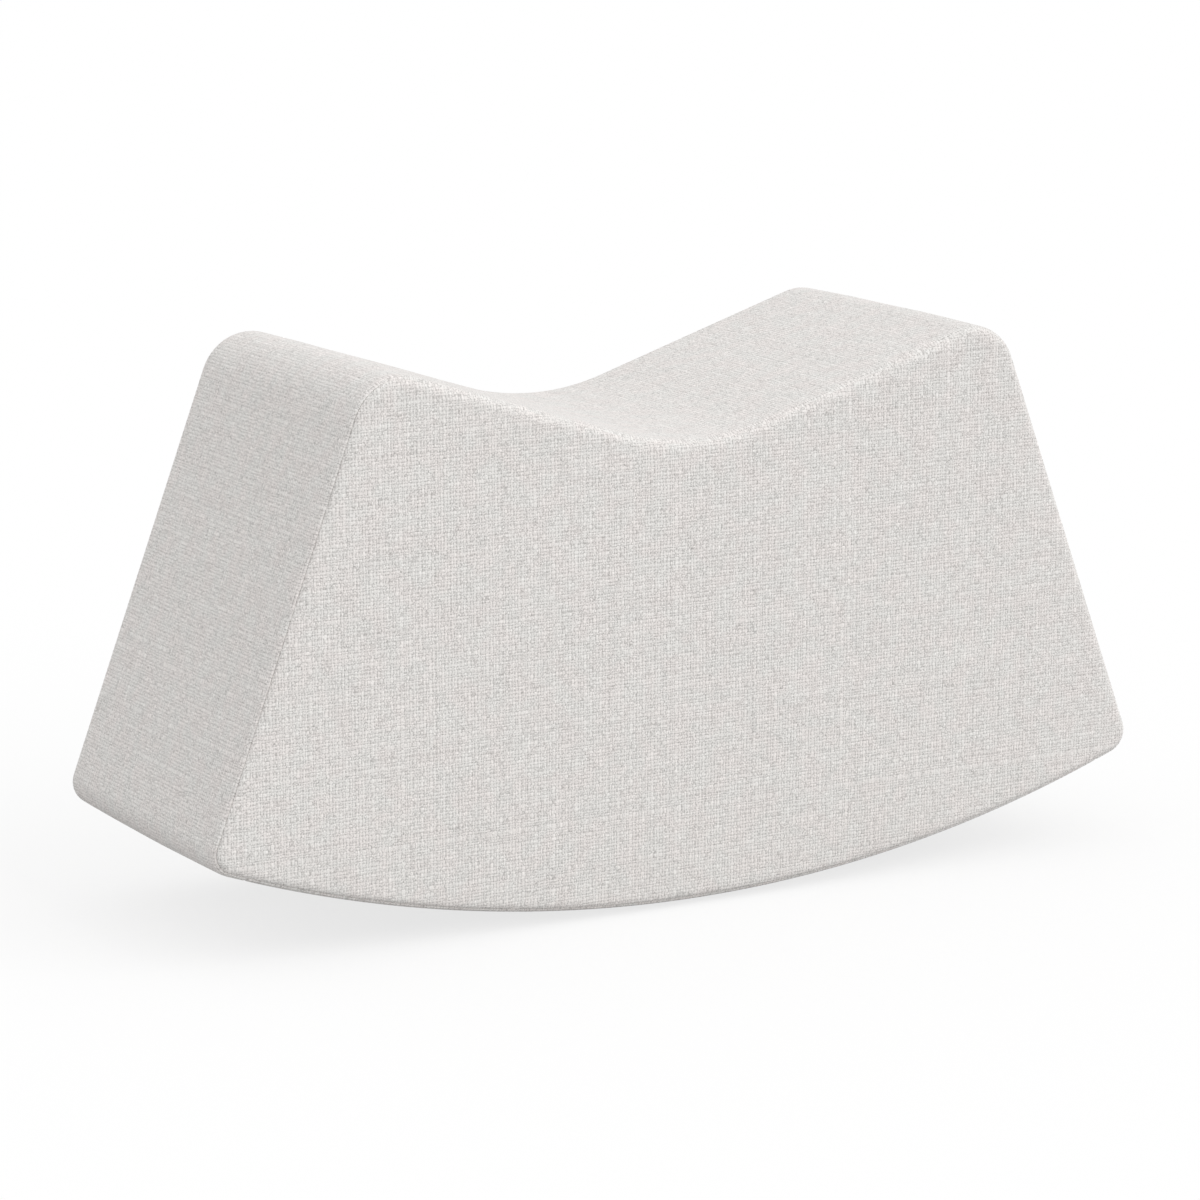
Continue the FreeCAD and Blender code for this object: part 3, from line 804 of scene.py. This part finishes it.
def coverBase(name, side, node):
    skin = Skin()
    start, stop = -baseSeam, baseSeam
    turns = [end * (base["mouth"] + n * mm) for end in (-1, 1) for n in (-2.4, -1.6, -0.8, 0, 0.8, 1.6)]
    plain = [run for run in stripRuns(start, stop, 3 * mm) if min(abs(run - t) for t in turns) > 0.9 * mm]
    runs = sorted(plain + turns)
    fineRuns = finer(runs, cover["fine"], False)

    def row(spotOf, fine):
        return [skin.add(*spotOf(run)) for run in (fineRuns if fine else runs)]

    def seamRow(acrossSeam, under, pull, inside, fine):
        def spotOf(run):
            deep = under * mm if inside else under * mm * seamDepth(run) + endDip(run, start, stop)
            return edgePoint(run, side, -acrossSeam * mm, deep, pull * mm)
        return row(spotOf, fine)

    def flatRow(fromHem, under, pull, inside, fine, share=None):
        def spotOf(run):
            x, z, nx, nz = aroundStool(run)
            edge = hemEdge(run)
            y = edge + fromHem * mm if share is None else edge + (sideHalf - edge) * share
            inset = under * mm + (pull * mm * stitchPull(run)) + (0 if inside else endDip(run, start, stop))
            return Vector((x - nx * inset, side * y, z - nz * inset)), (run, side * y, 0)
        return row(spotOf, fine)

    outer = cover["outerRows"]
    last = len(outer) - 1
    rows = [seamRow(*outer[n], False, n != last) for n in range(last, 0, -1)]
    count = int((sideHalf - base["opening"]) / cover["rowPitch"])
    shares = [1 - n / count for n in range(count)]
    rows += [flatRow(0, 0, 0, False, False, share) for share in shares if share * sideHalf > 9 * mm]
    rows += [flatRow(*row[:3], False, row[3]) for row in base["hemRows"]]
    rows += [flatRow(*row[:3], True, row[3]) for row in base["underRows"]]
    rows += [flatRow(0, 1.2, 0, True, False, share) for share in (0.2, 0.4, 0.6, 0.8)]
    rows += [seamRow(*inner, True, False) for inner in cover["innerRows"][::-1]]
    closeStrip(skin, rows)
    return skin.piece(name, cloth, nodes=[node])


print("cover")
coverFront = coverFace("coverFront", -1, "cover_front")
coverBack = coverFace("coverBack", 1, "cover_back")
coverBandPiece = coverBand()
coverBaseFront = coverBase("coverBaseFront", -1, "cover_base_front")
coverBaseBack = coverBase("coverBaseBack", 1, "cover_base_back")

# Layers under the cover, each between two paths round the stool


# Closed layer with its stations along the two paths and its rows at ys. A cell that keep refuses is
# left open through the layer.
def layerPiece(name, outer, inner, ys, material, nodes, keep=lambda i, j: True):
    skin = Skin()
    runs = [0]
    for a, b in zip(outer, outer[1:]):
        runs.append(runs[-1] + math.dist(a, b))
    sheets = []
    for path in (outer, inner):
        spots = zip(path, runs)
        sheets.append([[skin.add((x, y, z), (run, y, 0)) for y in ys] for (x, z), run in spots])
    top, under = sheets
    cells = {(i, j) for i in range(len(outer) - 1) for j in range(len(ys) - 1) if keep(i, j)}
    for i, j in cells:
        for sheet, turned in ((top, False), (under, True)):
            face = [sheet[i][j], sheet[i][j + 1], sheet[i + 1][j + 1], sheet[i + 1][j]]
            skin.faces.append(face[::-1] if turned else face)
        edges = {
            (i - 1, j): ((i, j), (i, j + 1)),
            (i + 1, j): ((i + 1, j + 1), (i + 1, j)),
            (i, j - 1): ((i + 1, j), (i, j)),
            (i, j + 1): ((i, j + 1), (i + 1, j + 1)),
        }
        for beside, (a, b) in edges.items():
            if beside not in cells:
                (p, q), (r, s) = a, b
                skin.faces.append([under[p][q], under[r][s], top[r][s], top[p][q]])
    used = {index for face in skin.faces for index in face}
    kept = sorted(used)
    renumbered = {index: n for n, index in enumerate(kept)}
    skin.points = [skin.points[index] for index in kept]
    skin.places = [skin.places[index] for index in kept]
    skin.faces = [[renumbered[index] for index in face] for face in skin.faces]
    return skin.piece(name, material, nodes=nodes, sharp=40)


def insetPath(runs, inset):
    path = []
    for run in runs:
        x, z, nx, nz = aroundStool(run)
        path.append((x - nx * inset, z - nz * inset))
    return path


def evenly(start, stop, step):
    count = max(1, round((stop - start) / step))
    return spread(start, stop, count) + [stop]


# Points at even lengths along joined parts of a profile
def along(parts, count):
    length = sum(part[0] for part in parts)
    return [walk(parts, length * n / count)[:2] for n in range(count)]


def bothSides(path):
    return path + [(-x, z) for x, z in path[::-1] if x > 1e-6]


layers = {
    "step": 6 * mm,
    "rowStep": 12 * mm,
    "zipRoom": 14.2 * mm,  # half width of the channel for the zip
    "zipRoomLength": 240.2 * mm,
    "panelCells": (50, 24),
}

padBase = stool["cloth"] + stool["wadding"]
woodEnd = padBase + stool["wrapFoam"]
woodTop = woodEnd + stool["saddleFoam"]
lined = profile(padBase, padBase, padBase, stool["crestRound"] - padBase, stool["toeRound"] - padBase)
wrapped = profile(woodEnd, woodEnd, padBase, stool["crestRound"] - woodEnd, stool["woodRound"])
wooden = profile(woodTop, woodEnd, padBase, stool["woodRound"], stool["woodRound"])


def buildLayers():
    rows = evenly(-frameHalf, frameHalf, layers["rowStep"])
    runs = evenly(baseSeam, 2 * halfRound - baseSeam, layers["step"])
    outer, inner = insetPath(runs, stool["cloth"]), insetPath(runs, padBase)
    wadding = layerPiece("waddingBand", outer, inner, rows, waddingFinish, ["wadding_band"])

    room, roomLength = layers["zipRoom"], layers["zipRoomLength"]
    step = layers["step"]
    runs = evenly(-baseSeam, -roomLength, step)[:-1] + evenly(-roomLength, roomLength, step)
    runs += evenly(roomLength, baseSeam, step)[1:]
    ys = evenly(-frameHalf, -room, layers["rowStep"])[:-1] + evenly(-room, room, layers["rowStep"])
    ys += evenly(room, frameHalf, layers["rowStep"])[1:]

    def besideZip(i, j):
        middle = (runs[i] + runs[i + 1]) / 2
        return abs(middle) > roomLength or abs(ys[j] + ys[j + 1]) / 2 > room

    outer, inner = insetPath(runs, stool["cloth"]), insetPath(runs, padBase)
    felt = layerPiece("rockerFelt", outer, inner, ys, feltFinish, ["rocker_felt"], besideZip)

    tip = wrapped["toe"][1](0)
    outer = [tip[:2]] + along([lined["toe"]], 8) + along([lined["end"]], 40) + along([lined["crest"]], 10)
    inner = [(tip[0], tip[1] + 0.2 * mm)] + along([wrapped["toe"]], 8) + along([wrapped["end"]], 40)
    inner += along([wrapped["crest"]], 10) + along([wrapped["top"]], 20) + along([wrapped["saddle"]], 8)
    outer += along([lined["top"]], 20) + along([lined["saddle"]], 8)
    outer.append(lined["saddle"][1](1)[:2])
    inner.append(wrapped["saddle"][1](1)[:2])
    outer, inner = bothSides(outer), bothSides(inner)
    wrap = layerPiece("wrapFoam", outer, inner, rows, foamFinish, ["wrap_foam"])

    tip = wooden["crest"][1](0)
    length = wrapped["end"][0]
    below = math.dist(wrapped["end"][1](0)[:2], tip[:2])
    upper = [wrapped["end"][1]((below + (length - below) * n / 4) / length)[:2] for n in range(1, 4)]
    outer = upper + along([wrapped["crest"]], 12)
    outer += along([wrapped["top"]], 22) + along([wrapped["saddle"]], 8)
    inner = along([wooden["crest"]], len(upper) + 12)
    inner += along([wooden["top"]], 22) + along([wooden["saddle"]], 8)
    outer.append(wrapped["saddle"][1](1)[:2])
    inner.append(wooden["saddle"][1](1)[:2])
    outer, inner = bothSides(outer), bothSides(inner)
    saddle = layerPiece("saddleFoam", outer, inner, rows, foamFinish, ["saddle_foam"])


# Foam over a side panel, chamfered where the cover's seam turnings lie
def faceFoam(name, side, node):
    skin = Skin()
    rim = stool["cloth"]
    table = [
        (stool["edgeRound"], stool["depth"] / 2 - rim),
        (rim + 0.6 * mm, sideHalf + 0.6 * mm),
        (rim, sideHalf - 0.5 * mm),
        (rim, frameHalf),
    ]
    cells = layers["panelCells"]
    runs = faceRuns[:: cover["coarse"]]
    rows = []
    for inset, deep in table:
        spots = zip(insetPath(runs, inset), runs)
        rows.append([skin.add((x, side * deep, z), (x, z, 0)) for (x, z), _ in spots])
    for a, b in zip(rows, rows[1:]):
        skin.link(a, b, True)
    skin.fill(rows[0], *cells, lambda u, v, spot: 0, side > 0)
    skin.fill(rows[-1], *cells, lambda u, v, spot: 0, side < 0)
    skin.piece(name, foamFinish, nodes=[node], sharp=35)


print("layers")
buildLayers()
faceFoam("faceFoamFront", -1, "face_foam_front")
faceFoam("faceFoamBack", 1, "face_foam_back")


# Works out the cut line of the cover's pieces round the outline, up to its seams, and then leaves it unused
def declareCover():
    rim = stool["edgeRound"] * math.pi / 4
    cut = insetPath(spread(-halfRound, halfRound, 2000), stool["edgeRound"] - rim)


declareCover()

# Zip, grip strips and the frame's hard pieces
fastener = {
    "tapeInset": 1.3 * mm,  # of its outer face
    "tapeThickness": 0.6 * mm,
    "tapeRows": [3.0, 3.5, 5.5, 8.0, 11.0, 13.6, 14.0],
    "tapeHalf": 240 * mm,
    "toothPitch": 5.5 * mm,
    "toothFirst": -222.25 * mm,
    "toothLast": 220.1 * mm,
    "toothHalf": 1.3,  # of its thickness
    # Plan of a tooth: along the zip and out from its middle. The head hooks behind the two opposite.
    "toothPlan": [
        (-1.15, 3.0), (-1.15, 2.2), (-0.82, 1.4), (-0.82, 0.9), (-1.12, 0.35), (-1.12, -0.35), (-0.7, -0.8),
    ],
    "toothBevel": 0.28,
    "threadRadius": 0.28 * mm,
    "threadLength": 2.7 * mm,
    "threadBow": 0.42 * mm,  # rise of a stitch in its middle
    "threadSink": 0.1 * mm,
}


# Point on the zip's line at a length along it, a depth across it and a height out of the tape
def onZip(run, y, height):
    level = stool["rockerRadius"] - fastener["tapeInset"] - fastener["tapeThickness"] / 2 + height
    turn = run / stool["rockerRadius"]
    return Vector((level * math.sin(turn), y, rockerCentre - level * math.cos(turn)))


def zipTape(name, side, node):
    runs = evenly(-fastener["tapeHalf"], fastener["tapeHalf"], 5 * mm)
    outer = insetPath(runs, fastener["tapeInset"])
    inner = insetPath(runs, fastener["tapeInset"] + fastener["tapeThickness"])
    ys = [side * y * mm for y in fastener["tapeRows"]]
    tape = layerPiece(name, outer, inner, ys, tapeFinish, [node])


# One row of moulded teeth, each a hooked head on a waist with its edges rounded over
def zipTeeth(name, side, shift, node):
    plan = fastener["toothPlan"]
    plan = plan + [(-t, y) for t, y in plan[::-1]]
    tooth = bmesh.new()
    rings = []
    for height in (-fastener["toothHalf"], fastener["toothHalf"]):
        rings.append([tooth.verts.new((t, y, height)) for t, y in plan])
    tooth.faces.new(rings[0][::-1])
    tooth.faces.new(rings[1])
    for n in range(len(plan)):
        m = (n + 1) % len(plan)
        tooth.faces.new((rings[0][n], rings[0][m], rings[1][m], rings[1][n]))
    rim = [edge for edge in tooth.edges if edge.verts[0].co.z == edge.verts[1].co.z]
    rounding = {"offset": fastener["toothBevel"], "segments": 2, "profile": 0.5, "affect": "EDGES"}
    bmesh.ops.bevel(tooth, geom=rim, **rounding)
    tooth.verts.index_update()
    skin = Skin()
    first, last = fastener["toothFirst"] + shift, fastener["toothLast"]
    for k in range(int((last - first) / fastener["toothPitch"]) + 1):
        start = len(skin.points)
        middle = first + k * fastener["toothPitch"]
        for vert in tooth.verts:
            t, y, height = vert.co * mm
            skin.add(onZip(middle + t, side * y, height), (middle + t, y, height))
        skin.faces += [[start + vert.index for vert in face.verts] for face in tooth.faces]
    tooth.free()
    skin.piece(name, toothFinish, nodes=[node], sharp=38)


# The hem's sewing thread: one short bowed stitch after another
def hemThread(name, side):
    skin = Skin()
    radius, half = fastener["threadRadius"], fastener["threadLength"] / 2
    count = int(base["mouth"] / cover["stitch"])
    for k in range(-count, count):
        middle = (k + 0.5) * cover["stitch"]
        rings = []
        for share in (-1, -0.75, -0.3, 0.3, 0.75, 1):
            lift = fastener["threadBow"] * (1 - share**2) - fastener["threadSink"]
            thick = radius * (1 - 0.55 * share**4)
            run = middle + share * half
            x, z, nx, nz = aroundStool(run)
            ring = []
            for turn in range(6):
                angle = math.tau * turn / 6
                out = lift + thick * math.sin(angle)
                y = side * (hemEdge(run) + base["hemStitch"] * mm + thick * math.cos(angle))
                ring.append(skin.add((x + nx * out, y, z + nz * out), (run, y, 0)))
            rings.append(ring)
        for a, b in zip(rings, rings[1:]):
            skin.link(a, b, True)
        skin.faces += [rings[0], rings[-1][::-1]]
    return skin.piece(name, threadFinish)


# The construction shape of a hard piece with its edges rounded over, in place of its node
def softened(node, width, material, body="root"):
    shaped = bmesh.new()
    shaped.from_mesh(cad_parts[node].data)
    bmesh.ops.remove_doubles(shaped, verts=shaped.verts, dist=1e-6)
    flat, sharpest = math.radians(1), math.radians(32)
    bmesh.ops.dissolve_limit(shaped, angle_limit=flat, verts=shaped.verts, edges=shaped.edges)
    sharp = [e for e in shaped.edges if len(e.link_faces) == 2 and e.calc_face_angle() > sharpest]
    rounding = {"offset": width, "segments": 2, "profile": 0.5, "affect": "EDGES", "clamp_overlap": True}
    bmesh.ops.bevel(shaped, geom=sharp, **rounding)
    shaped.verts.index_update()
    skin = Skin()
    for vert in shaped.verts:
        skin.add(vert.co.copy(), vert.co.copy())
    skin.faces = [[vert.index for vert in face.verts] for face in shaped.faces]
    shaped.free()
    words = node.split("_")
    name = words[0] + "".join(word.capitalize() for word in words[1:])
    return skin.piece(name, material, body, [node], sharp=35)


print("zip and hard pieces")
zipTape("zipTapeFront", -1, "zip_tape_front")
zipTape("zipTapeBack", 1, "zip_tape_back")
zipTeeth("zipTeethFront", -1, fastener["toothPitch"] / 2, "zip_teeth_front")
zipTeeth("zipTeethBack", 1, 0, "zip_teeth_back")
hemThread("hemThreadFront", -1)
hemThread("hemThreadBack", 1)
softened("zip_slider", 0.2 * mm, sliderFinish, "slider")
softened("zip_pull", 0.2 * mm, sliderFinish, "pull")
softened("zip_stops", 0.25 * mm, toothFinish)
softened("grip_strip_front", 0.7 * mm, gripFinish)
softened("grip_strip_back", 0.7 * mm, gripFinish)

# Camera, from the photograph's own perspective: eye level over the stool's left front
view = {
    "place": (-1.3134, -2.3026, 0.711),
    "yaw": 0.516,
    "pitch": 0.204,
    "lens": 137.6,
    "sensor": 36.0,
}

camera = bpy.data.objects.new("camera", bpy.data.cameras.new("camera"))
camera.data.lens = view["lens"]
camera.data.sensor_width = view["sensor"]
camera.location = view["place"]
level = math.cos(view["pitch"])
aim = Vector((math.sin(view["yaw"]) * level, math.cos(view["yaw"]) * level, -math.sin(view["pitch"])))
camera.rotation_euler = aim.to_track_quat("-Z", "Y").to_euler()
bpy.context.collection.objects.link(camera)
bpy.context.scene.camera = camera

# White studio: a floor that keeps the stool's shadow, a white surround and one soft lamp
studio = {
    "floorHalf": 30.0,
    "floor": "#f4f4f4",
    "floorBounce": "#c4c4c4",  # what the floor gives back to the stool
    "floorShade": 0.24,  # share of the floor's own shading that the camera sees
    "surround": 0.91,
    "lampFrom": (0.7, -0.9, 0.8),
    "lampSpread": 50,
    "lampStrength": 1.07,
}


# 1 where the camera sees a surface itself, in a mirror or through glass
def seenRay(tree):
    path = addNode(tree, "LightPath", {}, {})
    seen = path.outputs["Is Camera Ray"]
    for ray in ("Is Glossy Ray", "Is Transmission Ray"):
        seen = maths(tree, "MAXIMUM", seen, path.outputs[ray])
    return seen


def buildStudio():
    half = studio["floorHalf"]
    mesh = bpy.data.meshes.new("floor")
    corners = [(-half, -half, 0), (half, -half, 0), (half, half, 0), (-half, half, 0)]
    mesh.from_pydata(corners, [], [(0, 1, 2, 3)])
    floor = bpy.data.objects.new("floor", mesh)
    bpy.context.collection.objects.link(floor)
    material = bpy.data.materials.new("matt white studio floor")
    material.use_nodes = True
    tree = material.node_tree
    tree.nodes.clear()
    seen = seenRay(tree)
    share = maths(tree, "MULTIPLY", seen, 1 - studio["floorShade"])
    tones = {"Factor": seen, "A": toLinear(studio["floorBounce"]), "B": toLinear(studio["floor"])}
    colour = addNode(tree, "Mix", {"data_type": "RGBA"}, tones)
    matt = addNode(tree, "BsdfDiffuse", {}, {"Color": colour})
    white = addNode(tree, "Emission", {}, {"Color": (1, 1, 1, 1), "Strength": 1.0})
    mixed = addNode(tree, "MixShader", {}, {0: share, 1: matt, 2: white})
    addNode(tree, "OutputMaterial", {}, {"Surface": mixed})
    mesh.materials.append(material)

    world = bpy.data.worlds.new("white surround")
    bpy.context.scene.world = world
    world.use_nodes = True
    tree = world.node_tree
    tree.nodes.clear()
    seen = seenRay(tree)
    soft = addNode(tree, "Background", {}, {"Color": (1, 1, 1, 1), "Strength": studio["surround"]})
    white = addNode(tree, "Background", {}, {"Color": (1, 1, 1, 1), "Strength": 1.0})
    mixed = addNode(tree, "MixShader", {}, {0: seen, 1: soft, 2: white})
    addNode(tree, "OutputWorld", {}, {"Surface": mixed})

    light = bpy.data.lights.new("softLamp", "SUN")
    light.angle = math.radians(studio["lampSpread"])
    light.energy = studio["lampStrength"]
    lamp = bpy.data.objects.new("softLamp", light)
    lamp.rotation_euler = Vector(studio["lampFrom"]).to_track_quat("Z", "Y").to_euler()
    bpy.context.collection.objects.link(lamp)


buildStudio()

# Finishes of the carcass, which keeps its construction shape
finishes = {
    "saddle_deck": deckFinish, "rocker_deck": deckFinish, "end_board": deckFinish,
    "side_panel": panelFinish,
    "crest_rail": railFinish, "toe_rail": railFinish, "valley_rail": railFinish, "stretcher": railFinish,
    "rail_staples": stapleFinish, "board_staples": stapleFinish,
}
for name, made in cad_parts.items():
    for start, finish in finishes.items():
        if name.startswith(start):
            made.data.materials.clear()
            made.data.materials.append(finish)

bpy.context.scene.view_settings.view_transform = "Standard"
